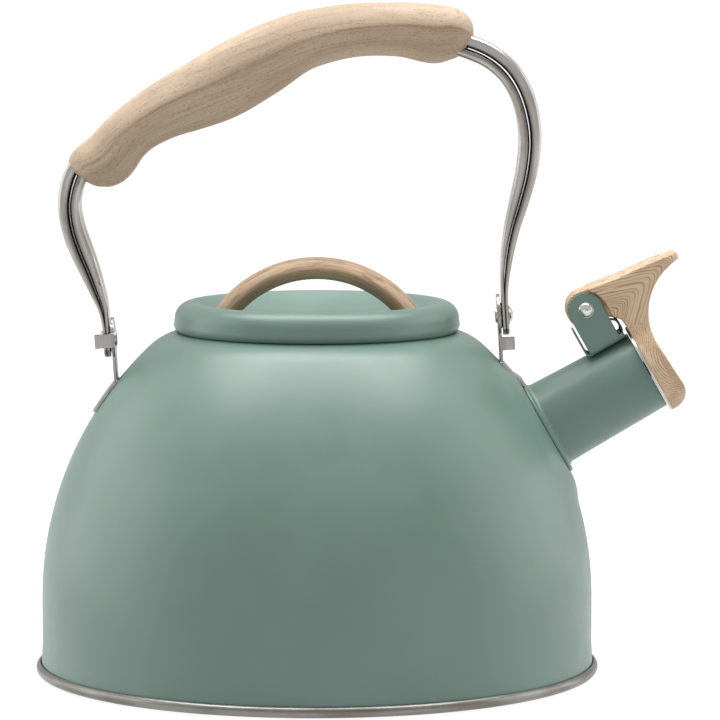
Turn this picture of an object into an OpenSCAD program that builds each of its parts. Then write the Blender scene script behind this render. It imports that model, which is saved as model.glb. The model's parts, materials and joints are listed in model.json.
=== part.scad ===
// Stovetop whistling kettle with a swinging bail, a lift-off lid and a sprung whistle lever.
// Millimetres. The origin is the centre of the base's underside, on the dome's axis.
// +Z is up, +X points at the spout, and the front of the kettle faces -Y.

/* [Body] */
// Outside diameter of the rolled ring at the base
base_d = 220; // [217:0.5:223]
// Thickness of the pressed steel sheet
sheet_t = 0.7; // [0.6:0.05:0.8]
// Radius of the arc that the dome's side follows
dome_r = 135; // [134:0.5:136]
// Height at which the side starts to curve inwards
dome_z = 29.7; // [29.2:0.25:30.2]
// Angle up the side arc at which the shoulder starts
shoulder_a = 46.5; // [46:0.25:47]
// Radius of the shoulder under the lid
shoulder_r = 24; // [23:0.5:25]
// Inside radius of the neck
neck_r = 49.5; // [49.3:0.1:50]
// Height of the neck collar's lower edge
neck_z = 125.7; // [124.7:0.5:126.7]

/* [Lid] */
// Radius of the lid's outer wall at the start of its rounded top
lid_wall_r = 55.4; // [55:0.1:56]
// Height of the top of the lid's rim
lid_top_z = 145.3; // [145:0.25:145.75]
// Slope of the dish where it meets the lid's rim
dish_slope = 27; // [25:0.5:28]
// Radius of the rounding between the rim and the dish
dish_round = 4; // [3.5:0.25:4.5]
// Width of the wooden arch on the lid
arch_w = 17; // [14:0.5:19]
// Outside radius of the wooden arch
arch_r = 49; // [48:0.25:50]

/* [Spout] */
// Angle of the spout above the horizontal
spout_a = 29.5; // [29:0.25:30]
// Length of the spout from flange to mouth
spout_l = 45.5; // [44:0.5:47]
// Outside radius of the spout at its mouth
mouth_r = 16; // [15.5:0.1:16.2]
// Outside radius of the spout at its root
root_r = 17; // [16.8:0.1:17.2]
// Outside radius of the spout's flange
flange_r = 20.15; // [19:0.05:21]

/* [Whistle lever] */
// Width of the lever and its thumb tab
lever_w = 22; // [21:0.5:24]
// Radius of the steel whistle plate
plate_r = 18.4; // [17.5:0.1:18.6]
// Radius of the hinge pin
pin_r = 2; // [1.8:0.1:2.2]
// Wire diameter of the return spring
wire_d = 0.9; // [0.7:0.1:1]

/* [Bail] */
// Width of the bail's arms from front to back
arm_w = 12; // [11:0.5:12]
// Thickness of the arms' pressed sheet
arm_t = 1.2; // [1:0.1:1.3]
// Radius of the rivets that the bail swings on
rivet_r = 2.5; // [2.2:0.1:2.8]
// Half width of the grip at its middle
grip_half_w = 12.5; // [11:0.5:14]

/* [Hidden] */
$fn = 64;

paint = "#7d978b";
steel = "#b9b7b2";
wood = "#cfae8a";
aluminium = "#c9cacb";

// ---- geometry helpers ----

function arc_pts(c, r, a0, a1, n) =
    [for (i = [0:n]) let (a = a0 + (a1 - a0) * i / n) c + r * [cos(a), sin(a)]];
function reversed(p) = [for (i = [len(p) - 1:-1:0]) p[i]];
function tail(p) = [for (i = [1:len(p) - 1]) p[i]];
function unit(v) = v / norm(v);

// Catmull-Rom curve through control points of any dimension, n steps between neighbours
function spline_at(a, b, c, d, t) =
    (2 * b + (c - a) * t + (2 * a - 5 * b + 4 * c - d) * t * t
     + (3 * b - a - 3 * c + d) * t * t * t) / 2;
function spline(p, n) = let (last = len(p) - 1) concat(
    [for (i = [0:last - 1], j = [0:n - 1])
        spline_at(i > 0 ? p[i - 1] : 2 * p[0] - p[1], p[i], p[i + 1],
            i + 2 > last ? 2 * p[last] - p[last - 1] : p[i + 2], j / n)],
    [p[last]]);

function plane2(v) = [v[0], v[1]];
// Unit vector along a path of [x, z, ...] at point i
function heading(p, i) =
    unit(plane2(p[min(i + 1, len(p) - 1)]) - plane2(p[max(i - 1, 0)]));
// Points beside a path of [x, z, ...], at signed distances d to its left
function beside(p, d) =
    [for (i = [0:len(p) - 1]) let (h = heading(p, i)) plane2(p[i]) + d[i] * [-h[1], h[0]]];

// Closed skin over rings of equal size, with flat ends
module skin(rings) {
    m = len(rings[0]);
    last = len(rings) - 1;
    points = [for (r = rings) each r];
    sides = [for (i = [0:last - 1], j = [0:m - 1])
        [i * m + j, (i + 1) * m + j, (i + 1) * m + (j + 1) % m, i * m + (j + 1) % m]];
    polyhedron(points,
        concat(sides, [[for (j = [0:m - 1]) j]], [[for (j = [m - 1:-1:0]) last * m + j]]),
        convexity = 6);
}

// Extrude a profile drawn in X and Z along Y, centred on Y = 0
module along_y(w) rotate([90, 0, 0]) linear_extrude(w, center = true) children();
// Extrude a profile drawn in Y and Z along X, centred on X = 0
module along_x(w) rotate([90, 0, 90]) linear_extrude(w, center = true) children();
// Turn a shape made along Z so that it lies along X
module lay_x() rotate([0, 90, 0]) children();

// ---- body ----

foot_r = base_d / 2 - 2;
wall_r = base_d / 2 - 2.5;
flare_z = 12;
// The seam: the shell's foot is a flange inside the pan's rolled edge
seam_r = base_d / 2 - 2.15;
seam_z = 2.55;
seam_roll = 2.15;
foot_z = [2.2, 2.9];
foot_flange_r = seam_r + 1.35;

dome_c = [wall_r - dome_r, dome_z];
shoulder_c = dome_c + (dome_r - shoulder_r) * [cos(shoulder_a), sin(shoulder_a)];
roll_r = 2.2;
roll_a = acos((neck_r + roll_r - shoulder_c[0]) / (shoulder_r - roll_r));
roll_c = shoulder_c + (shoulder_r - roll_r) * [cos(roll_a), sin(roll_a)];

// The side of the shell, t inside its outer face, from the foot up to the neck's edge
function shell_side(t) = concat(
    [[foot_r - t, foot_z[1]], [wall_r - t, flare_z]],
    arc_pts(dome_c, dome_r - t, 0, shoulder_a, 26),
    arc_pts(shoulder_c, shoulder_r - t, shoulder_a, roll_a, 8),
    arc_pts(roll_c, roll_r - t, roll_a, 180, 8),
    [[neck_r + t, neck_z]]);

// The dome without its neck, filled and t inside the outer face
module dome_block(t) rotate_extrude()
    polygon(concat([[0, dome_z]], arc_pts(dome_c, dome_r - t, 0, shoulder_a, 26),
        [[0, dome_c[1] + (dome_r - t) * sin(shoulder_a)]]));

module on_spout() translate(mouth) rotate([0, -spout_a, 0]) children();

// A round column along the spout's axis, through the shell behind the spout
module spout_column(r) on_spout() translate([-spout_l - 12, 0, 0]) lay_x() cylinder(h = 20, r = r);

// Flat seat pressed out of the dome for the spout's flange
boss_r = 21;
boss_foot_r = 29;
boss_h = 4;
module boss(t) on_spout() translate([-spout_l - boss_h - t, 0, 0]) lay_x()
    cylinder(h = boss_h, r1 = boss_foot_r - t / 2, r2 = boss_r - t / 2);

module body_shell() color(paint) difference() {
    union() {
        rotate_extrude() polygon(concat(
            [[foot_r - sheet_t, foot_z[0]], [foot_flange_r, foot_z[0]],
             [foot_flange_r, foot_z[1]]],
            shell_side(0), reversed(shell_side(sheet_t))));
        boss(0);
    }
    dome_block(sheet_t);
    boss(sheet_t);
    spout_column(root_r);
}

// ---- base ----

pan_z = 3.4;
pan_flat_r = 99.5;
pan_step_r = 104;
pan_slope = 0.3;
seam_end_a = 70;
core_r = 96.8;
cap_r = 97.5;
cap_t = 0.6;
cap_edge = 0.8;

module base_pan() color(steel) rotate_extrude() polygon(concat(
    [[0, pan_z], [pan_flat_r, pan_z], [pan_step_r, seam_z - seam_roll]],
    arc_pts([seam_r, seam_z], seam_roll, -90, seam_end_a, 14),
    reversed(arc_pts([seam_r, seam_z], seam_roll - sheet_t, -90, seam_end_a, 14)),
    [[pan_step_r + pan_slope, seam_z - seam_roll + sheet_t],
     [pan_flat_r + pan_slope, pan_z + sheet_t], [0, pan_z + sheet_t]]));

module base_core() color(aluminium) translate([0, 0, cap_t])
    cylinder(h = pan_z - cap_t, r = core_r, $fn = 96);

module base_cap() color(steel) rotate_extrude($fn = 96) polygon([[0, 0],
    [cap_r - cap_edge, 0], [cap_r, cap_edge], [cap_r, pan_z], [core_r, pan_z],
    [core_r, cap_t], [0, cap_t]]);

// ---- spout ----

mouth = [128.8, 0, 118.6];
tube_t = 0.8;
spigot_l = 3;
spigot_gap = 0.05;
tube_flange_t = 1.3;
fillet_r = 1.6;

module spout_tube() color(paint) on_spout() lay_x() rotate_extrude(convexity = 4)
    polygon(concat(
        [[mouth_r - tube_t, 0], [root_r - tube_t, -spout_l - spigot_l],
         [root_r - spigot_gap, -spout_l - spigot_l], [root_r - spigot_gap, -spout_l],
         [flange_r, -spout_l], [flange_r, -spout_l + tube_flange_t]],
        reversed(arc_pts([root_r + fillet_r, -spout_l + tube_flange_t + fillet_r],
            fillet_r, 180, 270, 6)),
        [[mouth_r, 0]]));

// ---- hinge of the whistle lever, in the spout's frame: x along the spout, z across it ----

hinge = [-9.4, 32.9];
ear_u = [-16.4, -3];
ear_y = [8.3, 9.5];
// The flat web between the ears: where it ends by the mouth, its underside, and its bends
web_end_u = -1;
web_v = 15.9;
bend_r = 2.4;
// The flange bent up behind the ears: its faces, its top and its half width
rear_u = [-18.1, -17.3];
rear_top_v = 28;
rear_half = 7.6;
head_r = 3;
head_h = 1.5;
// Where the web is hollowed to lie on the spout
tube_gap = 0.03;

module at_hinge() on_spout() translate([hinge[0], 0, hinge[1]]) children();
// Shaft along Y about the hinge
module hinge_shaft(r, w) rotate([90, 0, 0]) cylinder(h = w, r = r, center = true);

module tube_block(gap) lay_x() translate([0, 0, -spout_l])
    cylinder(h = spout_l, r1 = root_r + gap, r2 = mouth_r + gap);

// Side view of the bracket: round-topped ears on a web with a rounded rear corner
module bracket_side() {
    // the flat web reaches on towards the mouth, in front of the ears
    translate(hinge) circle(r = (ear_u[1] - ear_u[0]) / 2);
    translate([ear_u[0] + bend_r, web_v]) square([ear_u[1] - ear_u[0] - bend_r, hinge[1] - web_v]);
    translate([ear_u[0], web_v + bend_r]) square([bend_r, hinge[1] - web_v - bend_r]);
    translate([ear_u[0] + bend_r, web_v + bend_r]) circle(r = bend_r);
    translate([ear_u[1] - 1, web_v]) square([web_end_u - ear_u[1] + 1, bend_r]);
}

// End view of the U, t inside its outer face
module bracket_end(t) {
    translate([0, web_v + bend_r]) for (s = [-1, 1])
        translate([s * (ear_y[1] - bend_r), 0]) circle(r = bend_r - t);
    translate([bend_r - ear_y[1], web_v + t]) square([2 * (ear_y[1] - bend_r), bend_r]);
    translate([t - ear_y[1], web_v + bend_r]) square([2 * (ear_y[1] - t), 40]);
}

// The rear flange starts under the web, turns up through a bend and stands behind the ears
module rear_flange() {
    rear_bend = [rear_u[0] + bend_r, web_v + bend_r];
    along_y(2 * rear_half) {
        intersection() {
            difference() {
                translate(rear_bend) circle(r = bend_r);
                translate(rear_bend) circle(r = bend_r - (rear_u[1] - rear_u[0]));
            }
            translate([rear_u[0], web_v]) square(bend_r);
        }
        translate([rear_u[0], rear_bend[1]])
            square([rear_u[1] - rear_u[0], rear_top_v - rear_bend[1]]);
        translate([rear_bend[0], web_v]) square([4, rear_u[1] - rear_u[0]]);
    }
}

module hinge_bracket() color(paint) difference() {
    on_spout() {
        rear_flange();
        intersection() {
            along_y(2 * ear_y[1]) bracket_side();
            along_x(60) difference() {
                bracket_end(0);
                bracket_end(ear_y[1] - ear_y[0]);
            }
        }
    }
    on_spout() tube_block(tube_gap);
    at_hinge() hinge_shaft(pin_r, 30);
}

// Domed head of a rivet, flat side down at z = 0
module dome_head(r, h) {
    ball = (r * r + h * h) / (2 * h);
    intersection() {
        translate([0, 0, h - ball]) sphere(r = ball);
        cylinder(h = h, r = r);
    }
}

module lever_pin() color(steel) at_hinge() {
    hinge_shaft(pin_r, 2 * ear_y[1]);
    for (s = [-1, 1]) translate([0, s * ear_y[1], 0]) rotate([-90 * s, 0, 0])
        dome_head(head_r, head_h);
}

// Double torsion spring: a coil on the pin inside each ear, and one heel on the spout
coil_r = 3.4;
coil_turns = 1.75;
coil_start_y = 5.6;
coil_end_y = 7.6;
tang_l = 1.6;
heel = [[-2.6, 24.8], [-1.2, 23.4], [-0.9, 21.7], [-0.9, 20.1], [-1.3, 18.7]];
heel_y = 6.4;
function coil_point(s, a, f) = let (y = coil_start_y + (coil_end_y - coil_start_y) * f)
    [hinge[0] + coil_r * cos(a), s * y, hinge[1] + coil_r * sin(a)];
leg_a = -121;
coil_steps = 36;
function coil(s) = [for (i = [0:coil_steps]) let (f = i / coil_steps)
    coil_point(s, leg_a - 360 * coil_turns * (1 - f), f)];
function spring_side(s) = concat(
    [coil(s)[0] - [0, s * tang_l, 0]], coil(s),
    [for (p = heel) [p[0], s * (p[1] > 20 ? coil_end_y : (coil_end_y + heel_y) / 2), p[1]]]);
heel_end = [-2.4, 17.75];
wire_sides = 8;
spring_path = concat(spring_side(-1), [for (y = [-heel_y, 0, heel_y]) [heel_end[0], y, heel_end[1]]],
    reversed(spring_side(1)));

function tangent3(p, i) = unit(p[min(i + 1, len(p) - 1)] - p[max(i - 1, 0)]);
function square_to(n, t) = unit(n - (n * t) * t);
function wire_rings(p, r, m) =
    [for (i = 0, n = square_to([0, 0, 1], tangent3(p, 0)); i < len(p);
          i = i + 1, n = i < len(p) ? square_to(n, tangent3(p, i)) : n)
        let (b = cross(tangent3(p, i), n))
        [for (k = [0:m - 1]) p[i] + r * (cos(360 * k / m) * n + sin(360 * k / m) * b)]];

module lever_spring() color(steel) on_spout() skin(wire_rings(spring_path, wire_d / 2, wire_sides));

// ---- whistle lever, in the spout's frame ----

plate_gap = 0.25;
plate_t = 0.8;
cover_u = plate_gap + plate_t;
cover_r = 18.6;
barrel_r = 7.6;
barrel_half = 8.05;
cup_r = 8.5;
cup_h = 3.6;
cup_t = 0.6;
outlet_r = 6;
whistle_r = 1.3;
whistle_screw_y = 12;
whistle_screw_r = 1;
whistle_screw_l = 5;
recess_gap = 0.1;
// Depth of the recess for a coil, inside the one for its ear
coil_recess = 3.2;
coil_room_r = 4.7;
leg_sweep = [-45.5, -158];
tang_room = 0.7;
tang_sweep = [-22, -112];

module lever_side() polygon(concat(
    [[cover_u, -cover_r]],
    arc_pts([1.1, -10.2], 8.4, -78, 0, 8),
    arc_pts([32.3, 8.6], 24.1, 178, 94, 16),
    arc_pts([30.7, 34.1], 1.5, -85, 80, 6),
    [[20, 36.9], [6, 38.1]],
    arc_pts(hinge, barrel_r, 88, 300, 22),
    [[-2, 26.1], [0.7, 23], [cover_u, 19]]));

// The cover is a disc that narrows to the width of the thumb tab through a soft waist
waist_r = 8;
waist = [lever_w / 2 + waist_r,
    sqrt((cover_r + waist_r) * (cover_r + waist_r)
        - (lever_w / 2 + waist_r) * (lever_w / 2 + waist_r))];
waist_a = atan2(waist[1], waist[0]);
module lever_front() {
    half = concat(arc_pts([0, 0], cover_r, -90, waist_a, 24),
        reversed(arc_pts(waist, waist_r, 180, 180 + waist_a, 6)), [[lever_w / 2, 50]]);
    polygon(concat(half, [for (i = [len(half) - 1:-1:1]) [-half[i][0], half[i][1]]]));
}

tab_corner = 7;
module lever_plan() {
    translate([-20, -20]) square([33, 40]);
    translate([0, -lever_w / 2]) square([32.7 - tab_corner, lever_w]);
    for (s = [-1, 1]) translate([32.7 - tab_corner, s * (lever_w / 2 - tab_corner)])
        circle(r = tab_corner);
    translate([0, tab_corner - lever_w / 2]) square([32.7, lever_w - 2 * tab_corner]);
}

// Side view of the step that leaves room for an ear and lets it turn
module ear_recess() {
    translate(hinge) circle(r = barrel_r - recess_gap);
    translate([-30, 0]) square([28.5, hinge[1]]);
    translate([-30, hinge[1]]) square([25, 20]);
}

// Room for a coil and for its leg, as the lever swings away from it
module spring_room() {
    translate(hinge) {
        circle(r = coil_room_r);
        polygon(concat([[0, 0]], arc_pts([0, 0], 14, leg_sweep[0], leg_sweep[1], 10)));
    }
}

// Arc slot that a spring's tang stands in, with room for the lever's swing
module tang_slot() translate(hinge) intersection() {
    difference() {
        circle(r = coil_r + tang_room);
        circle(r = coil_r - tang_room);
    }
    polygon(concat([[0, 0]], arc_pts([0, 0], 8, tang_sweep[0], tang_sweep[1], 6)));
}

module whistle_lever() color(wood) on_spout() difference() {
    intersection() {
        along_y(2 * cover_r + 2) lever_side();
        along_x(80) lever_front();
        linear_extrude(110, center = true) lever_plan();
    }
    for (s = [-1, 1]) {
        translate([0, s * (barrel_half + 10), 0]) along_y(20) ear_recess();
        translate([0, s * (barrel_half + 10 - coil_recess), 0]) along_y(20) intersection() {
            spring_room();
            translate([-30, 0]) square([27.3, 50]);
        }
    }
    translate([hinge[0], 0, hinge[1]]) hinge_shaft(pin_r + 0.05, 40);
    for (s = [-1, 1]) translate([0, s * (coil_start_y - tang_l / 2), 0])
        along_y(tang_l + 1) tang_slot();
    // hollow for the whistle cup, and the hole that lets the steam out
    lay_x() {
        cylinder(h = cover_u + cup_h + 0.3, r = cup_r + 0.3);
        cylinder(h = 20, r = outlet_r);
        for (s = [-1, 1]) translate([0, s * whistle_screw_y, 0])
            cylinder(h = cover_u + whistle_screw_l + 0.2, r = whistle_screw_r);
    }
}

module whistle_plate() color(steel) on_spout() difference() {
    translate([plate_gap, 0, 0]) lay_x() cylinder(h = plate_t, r = plate_r);
    lay_x() cylinder(h = 5, r = whistle_r);
    for (s = [-1, 1]) translate([0, s * whistle_screw_y, 0]) lay_x()
        cylinder(h = 5, r = whistle_screw_r);
}

module whistle_cup() color(steel) on_spout() translate([cover_u, 0, 0]) lay_x() difference() {
    cylinder(h = cup_h, r = cup_r);
    translate([0, 0, -1]) cylinder(h = cup_h + 1 - cup_t, r = cup_r - cup_t);
    cylinder(h = 10, r = whistle_r);
}

module whistle_screws() color(steel) on_spout() for (s = [-1, 1])
    translate([plate_gap, s * whistle_screw_y, 0]) {
        lay_x() cylinder(h = plate_t + whistle_screw_l, r = whistle_screw_r);
        rotate([0, -90, 0]) dome_head(1.9, 0.9);
    }

// ---- lugs and rivets of the bail, each in its pivot's frame: x along the hinge line ----

pivot_left = [-81.8, 0, 130.4];
pivot_right = [73.4, 0, 139.8];
pivot_slope = atan2(pivot_right[2] - pivot_left[2], pivot_right[0] - pivot_left[0]);
washer_t = 0.7;
lug_t = 1.3;
lug_head_r = 8.5;
lug_stem = 5.5;
foot_t = 1.2;
foot_half = 8;
weld_gap = 0.04;
flange_gap = 0.2;

module at_left() translate(pivot_left) rotate([0, -pivot_slope, 0]) children();
module at_right() translate(pivot_right) rotate([0, -pivot_slope, 0]) mirror([1, 0, 0])
    children();

// A pivot's own frame has its rivet head towards -x and its lug towards +x.
lug_x = arm_t + washer_t;

module lug_plate(drop) difference() {
    translate([lug_x + lug_t / 2, 0, 0]) along_x(lug_t) {
        circle(r = lug_head_r);
        translate([-lug_stem, -drop]) square([2 * lug_stem, drop]);
    }
    translate([-5, 0, 0]) lay_x() cylinder(h = 20, r = rivet_r);
}

// Everything inside the body's outer face, grown by g
module body_block(g) {
    dome_block(-g);
    boss(-g);
}

// Foot of a lug, bent to lie on the body on one side, between two heights
module lug_foot(side, z) intersection() {
    body_block(weld_gap + foot_t);
    translate([side > 0 ? 40 : -140, -foot_half, z[0]]) cube([100, 2 * foot_half, z[1] - z[0]]);
}

// Stop tab bent out of a lug's front edge: where it starts and its [from, to] in height
module stop_tab(x, y, z) translate([x, y, z[0]])
    cube([lug_x + lug_t - x, lug_t, z[1] - z[0]]);

module lug_left() color(steel) difference() {
    union() {
        at_left() union() {
            lug_plate(22);
            stop_tab(-4.4, -lug_head_r, [-2.8, 2.7]);
        }
        lug_foot(-1, [102.7, 114.7]);
    }
    body_block(weld_gap);
}

// The right foot ends at the spout's flange
module lug_right() color(steel) difference() {
    union() {
        at_right() union() {
            lug_plate(24);
            stop_tab(-3, -lug_stem, [-13.2, -8.1]);
        }
        lug_foot(1, [107.7, 121.7]);
    }
    body_block(weld_gap);
    spout_column(flange_r + flange_gap);
}

// Rivet through arm, washer and lug, with its domed head outside and its tail inside
play = 0.1;
rivet_head = [3.9, 1.8];
rivet_tail = [2.8, 0.9];
module bail_rivet() lay_x() {
    translate([0, 0, -arm_t - play]) {
        cylinder(h = arm_t + play + lug_x + lug_t, r = rivet_r);
        rotate([180, 0, 0]) dome_head(rivet_head[0], rivet_head[1]);
    }
    translate([0, 0, lug_x + lug_t]) cylinder(h = rivet_tail[1], r = rivet_tail[0]);
}
module bail_rivet_left() color(steel) at_left() bail_rivet();
module bail_rivet_right() color(steel) at_right() bail_rivet();

washer_r = 5;
module bail_washer() translate([arm_t + play, 0, 0]) lay_x() difference() {
    cylinder(h = washer_t - play, r = washer_r);
    translate([0, 0, -1]) cylinder(h = 3, r = rivet_r);
}
module bail_washers() color(steel) {
    at_left() bail_washer();
    at_right() bail_washer();
}

// ---- arms of the bail ----

// Middle line of each arm from the tongue up into the grip: [x, z, thickness, outer part]
tongue_l = 8;
hinge_up = [-sin(pivot_slope), cos(pivot_slope)];
function tongue(p, drop) = concat([p[0], p[2]] + drop * hinge_up, [2 * arm_t, arm_t]);
left_line = concat([tongue(pivot_left, -tongue_l), tongue(pivot_left, 0), tongue(pivot_left, 5)],
    [[-83.1, 142.7, 3.9, 1.4], [-85.2, 149.2, 5.8, 2], [-88.2, 157.2, 7.6, 2.8],
     [-91.3, 164.7, 8.8, 3.4], [-94.2, 172.7, 9, 3.7], [-95.8, 180.7, 8.8, 4],
     [-95.5, 187.7, 8.9, 4.4], [-93.3, 194.7, 9.2, 4.6], [-89.2, 200.6, 8.6, 4.4],
     [-83.4, 206, 8, 4.1]]);
right_line = concat([tongue(pivot_right, -tongue_l), tongue(pivot_right, 0),
        tongue(pivot_right, 5)],
    [[73, 152.7, 3.1, 1.5], [73.9, 162.7, 4.6, 2.3], [75.8, 173.7, 6, 2.8],
     [78.7, 184.7, 7.4, 3.2], [81.5, 196.7, 8.3, 3.6], [82.7, 209.7, 8.8, 4.2],
     [80.6, 222.7, 9, 4.8], [75.6, 232.7, 9.2, 4.9], [68.8, 239.3, 9.2, 4.9],
     [60.6, 243.5, 9.2, 4.9], [48, 247.3, 8.6, 4.6]]);
left_path = spline(left_line, 4);
right_path = spline(right_line, 4);
groove = 0.5;

// Half the thickness of an arm, and where its groove runs, for every point of its path
function half_of(p) = [for (q = p) q[2] / 2];
function groove_of(p) = [for (q = p) q[2] / 2 - q[3]];
function groove_at(q) = min(groove, max(0, (q[2] - 2 * arm_t) * 0.4));

// Outline of an arm's whole thickness, grown by g. side is +1 on the left arm, -1 on the right
module arm_outline(p, side, g) polygon(concat(
    beside(p, [for (q = p) (q[2] / 2 + g) * side]),
    reversed(beside(p, [for (q = p) -(q[2] / 2 + g) * side]))));
module outer_outline(p, side) polygon(concat(
    beside(p, half_of(p) * side), reversed(beside(p, groove_of(p) * side))));
module inner_outline(p, side) polygon(concat(
    beside(p, [for (q = p) (q[2] / 2 - q[3] - groove_at(q)) * side]),
    reversed(beside(p, -half_of(p) * side))));

// Hollows: what lies between a channel's web and the groove, where the arm is deep enough
function deep(p, part) = [for (q = p) if ((part == 0 ? q[3] : q[2] - q[3] - groove_at(q))
    > arm_t + 0.3) q];
module outer_hollow(p, side) let (d = deep(p, 0)) polygon(concat(
    beside(d, [for (q = d) (q[2] / 2 - arm_t) * side]),
    reversed(beside(d, [for (q = d) (q[2] / 2 - q[3] - 1) * side]))));
module inner_hollow(p, side) let (d = deep(p, 1)) polygon(concat(
    beside(d, [for (q = d) (q[2] / 2 - q[3] + 1) * side]),
    reversed(beside(d, [for (q = d) (arm_t - q[2] / 2) * side]))));

// Front view of an arm about its pivot: round below it, or with a square rear corner
module arm_front(end_r, square_corner) {
    intersection() {
        circle(r = end_r);
        square([arm_w, 40], center = true);
    }
    translate([-arm_w / 2, 0]) square([arm_w, 140]);
    if (square_corner) translate([0, 0.3 - tongue_l]) square([arm_w / 2, tongue_l]);
}

module at_pivot(side) {
    if (side > 0) at_left() children();
    else at_right() children();
}

// One channel of an arm: its outline is the first child, and its hollow is the second
arm_end_r = [7, 7.7];
rivet_gap = 0.05;
module arm(side) difference() {
    intersection() {
        along_y(2 * arm_w) children(0);
        at_pivot(side) along_x(120) arm_front(arm_end_r[side > 0 ? 0 : 1], side < 0);
    }
    along_y(arm_w - 2 * arm_t) children(1);
    at_pivot(side) translate([-20, 0, 0]) lay_x() cylinder(h = 40, r = rivet_r + rivet_gap);
}
module arm_outer(p, side) color(steel) arm(side) {
    outer_outline(p, side);
    outer_hollow(p, side);
}
module arm_inner(p, side) color(steel) arm(side) {
    inner_outline(p, side);
    inner_hollow(p, side);
}
module arm_outer_left() arm_outer(left_path, 1);
module arm_inner_left() arm_inner(left_path, 1);
module arm_outer_right() arm_outer(right_path, -1);
module arm_inner_right() arm_inner(right_path, -1);

// ---- grip ----

// Middle line of the grip from its low left end to its right end: [x, z, half height]. The arms'
// ends stand in sockets that run in from both ends.
grip_line = [[-94.9, 195.9, 10.2], [-90.8, 200.2, 9.6], [-84, 204.5, 10.8], [-77.4, 211.8, 10.1],
    [-69.7, 218, 10.2], [-57.1, 225.6, 11.7], [-38.2, 233.3, 13.9], [-21.5, 240.2, 13.4],
    [-5.5, 246.5, 11.5], [13.2, 250.4, 10.4], [31.6, 250.9, 10.5], [45.2, 249.1, 11.4],
    [53, 249.1, 10.1], [60.3, 247.3, 9.1]];
end_round = 9;

// How much of its full section the grip has, d from an end
end_power = 2.2;
function end_scale(d) = d >= end_round ? 1
    : pow(1 - pow(1 - max(d, 0.04) / end_round, end_power), 1 / end_power);
// Superellipse with flatter sides than a circle
function soft(c) = sign(c) * pow(abs(c), 0.8);

function path_length(p, i) = i == 0 ? 0 : path_length(p, i - 1)
    + norm(plane2(p[i]) - plane2(p[i - 1]));
grip_path = spline(grip_line, 5);
grip_l = path_length(grip_path, len(grip_path) - 1);
end_steps = [0, 0.5, 1.5, 3, 5, 7];
grip_sides = 28;
socket_gap = 0.05;

// Point, heading and half height anywhere along the grip
function along(p, d, i = 0) = let (step = norm(plane2(p[i + 1]) - plane2(p[i])))
    d <= step || i == len(p) - 2 ? p[i] + (p[i + 1] - p[i]) * d / step
        : along(p, d - step, i + 1);
grip_d = concat(end_steps, [for (i = [0:24]) end_round + (grip_l - 2 * end_round) * i / 24],
    [for (d = reversed(end_steps)) grip_l - d]);

module grip() color(wood) difference() {
    skin([for (d = grip_d) let (
            q = along(grip_path, d),
            h = unit(plane2(along(grip_path, min(d + 1, grip_l))
                - along(grip_path, max(d - 1, 0)))),
            e = min(end_scale(d), end_scale(grip_l - d)))
        [for (k = [0:grip_sides - 1]) let (a = 360 * k / grip_sides,
                up = q[2] * e * soft(sin(a)), out = grip_half_w * e * soft(cos(a)))
            [q[0] - h[1] * up, out, q[1] + h[0] * up]]]);
    along_y(arm_w + 2 * socket_gap) arm_outline(left_path, 1, socket_gap);
    along_y(arm_w + 2 * socket_gap) arm_outline(right_path, -1, socket_gap);
}

// ---- lid ----

lid_round = 6.5;
crest_r = lid_wall_r - lid_round;
hem_c = [51.9, 136.7];
hem_r = 3.8;
hem_a = -48;

// The dish is part of a sphere that meets the rim's rounding at a tangent
dish_steps = 14;
dish_edge = [crest_r - dish_round * sin(dish_slope),
    lid_top_z - dish_round * (1 - cos(dish_slope))];
dish_r = dish_edge[0] / sin(dish_slope);
dish_c = [0, dish_edge[1] + dish_r * cos(dish_slope)];
// The dish's outline from its edge inwards, t under its top face
function dish_arc(t, last) = [for (i = [0:last])
    let (a = dish_slope * (1 - i / dish_steps) - 90) dish_c + (dish_r + t) * [cos(a), sin(a)]];

// The lid's sheet, t inside its top face, from the hem over the rim to the dish's middle
function lid_side(t) = concat(
    arc_pts(hem_c, hem_r - t, hem_a, 0, 5),
    arc_pts([crest_r, lid_top_z - lid_round], lid_round - t, 0, 90, 10),
    arc_pts([crest_r, lid_top_z - dish_round], dish_round - t, 90, 90 + dish_slope, 4),
    tail(dish_arc(t, dish_steps)));

arch_h = 17.2;
arch_c = lid_top_z + arch_h - arch_r;
arch_inner_r = 40.4;
arch_round = 2.6;
arch_foot_x = 35;
arch_foot_a = asin(arch_foot_x / dish_r);
screw_r = 1.75;
screw_grip = 5;
screw_head = [3.2, 1.6];

// A frame on the dish at each foot of the arch, with z along the dish's normal
module at_feet() for (s = [-1, 1])
    translate([0, 0, dish_c[1]]) rotate([0, -s * arch_foot_a, 0]) translate([0, 0, -dish_r])
        children();

module lid_shell() color(paint) difference() {
    rotate_extrude($fn = 96) polygon(concat(lid_side(0), reversed(lid_side(sheet_t))));
    at_feet() translate([0, 0, -5]) cylinder(h = 10, r = screw_r + 0.15, $fn = 32);
}

// The skirt's flange lies under the dish, and its lower edge tapers to find the neck
skirt_r = 49;
skirt_z = 122.2;
skirt_top_z = 143.1;
skirt_taper = [1.4, 3];
skirt_flange = 2;
module lid_skirt() color(steel) rotate_extrude($fn = 96) polygon(concat(
    [[skirt_r, skirt_top_z]],
    dish_arc(sheet_t, skirt_flange),
    reversed(dish_arc(2 * sheet_t, skirt_flange)),
    [[skirt_r - sheet_t, skirt_top_z - sheet_t],
     [skirt_r - sheet_t, skirt_z + skirt_taper[1]],
     [skirt_r - sheet_t - skirt_taper[0], skirt_z],
     [skirt_r - skirt_taper[0], skirt_z],
     [skirt_r, skirt_z + skirt_taper[1]]]));

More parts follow.
